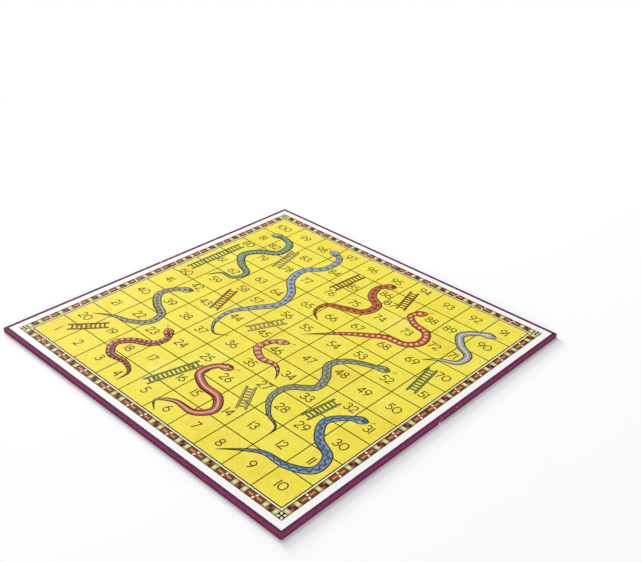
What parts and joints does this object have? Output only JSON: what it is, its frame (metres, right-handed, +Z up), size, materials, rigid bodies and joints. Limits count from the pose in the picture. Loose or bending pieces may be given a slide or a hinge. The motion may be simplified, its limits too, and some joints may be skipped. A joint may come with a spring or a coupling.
{
  "type": "folding snakes and ladders board",
  "caption": "Square snakes and ladders board of paper-wrapped greyboard that folds in half, printed face inwards, on a cloth hinge.",
  "frame": {"origin": "on the table, under the middle of the fold of the open board", "axes": "+X along the fold and the rows of squares, +Y from the edge with the first row to the edge with the last row, +Z up, out of the printed face"},
  "size_m": [0.4, 0.4, 0.0048],
  "materials": {
    "greyboard": "raw recycled greyboard, hidden under the wrap and the sheet",
    "wrap_paper": "maroon covering paper with a fine grain and a slight sheen",
    "hinge_cloth": "maroon woven hinge cloth",
    "printed_paper": "satin printed paper, lemon yellow squares inside a patterned border and a white margin"
  },
  "bodies": {
    "near_half": {"near_core": "greyboard", "near_wrap": "wrap_paper", "near_hinge_leaf": "hinge_cloth", "near_sheet": "printed_paper"},
    "far_half": {"far_core": "greyboard", "far_wrap": "wrap_paper", "far_hinge_leaf": "hinge_cloth", "far_sheet": "printed_paper"}
  },
  "joints": [
    {"name": "fold", "type": "hinge", "parent": "near_half", "child": "far_half", "pos_m": [0, 0, 0.00505], "axis": [1, 0, 0], "range_deg": [0, 180]}
  ]
}
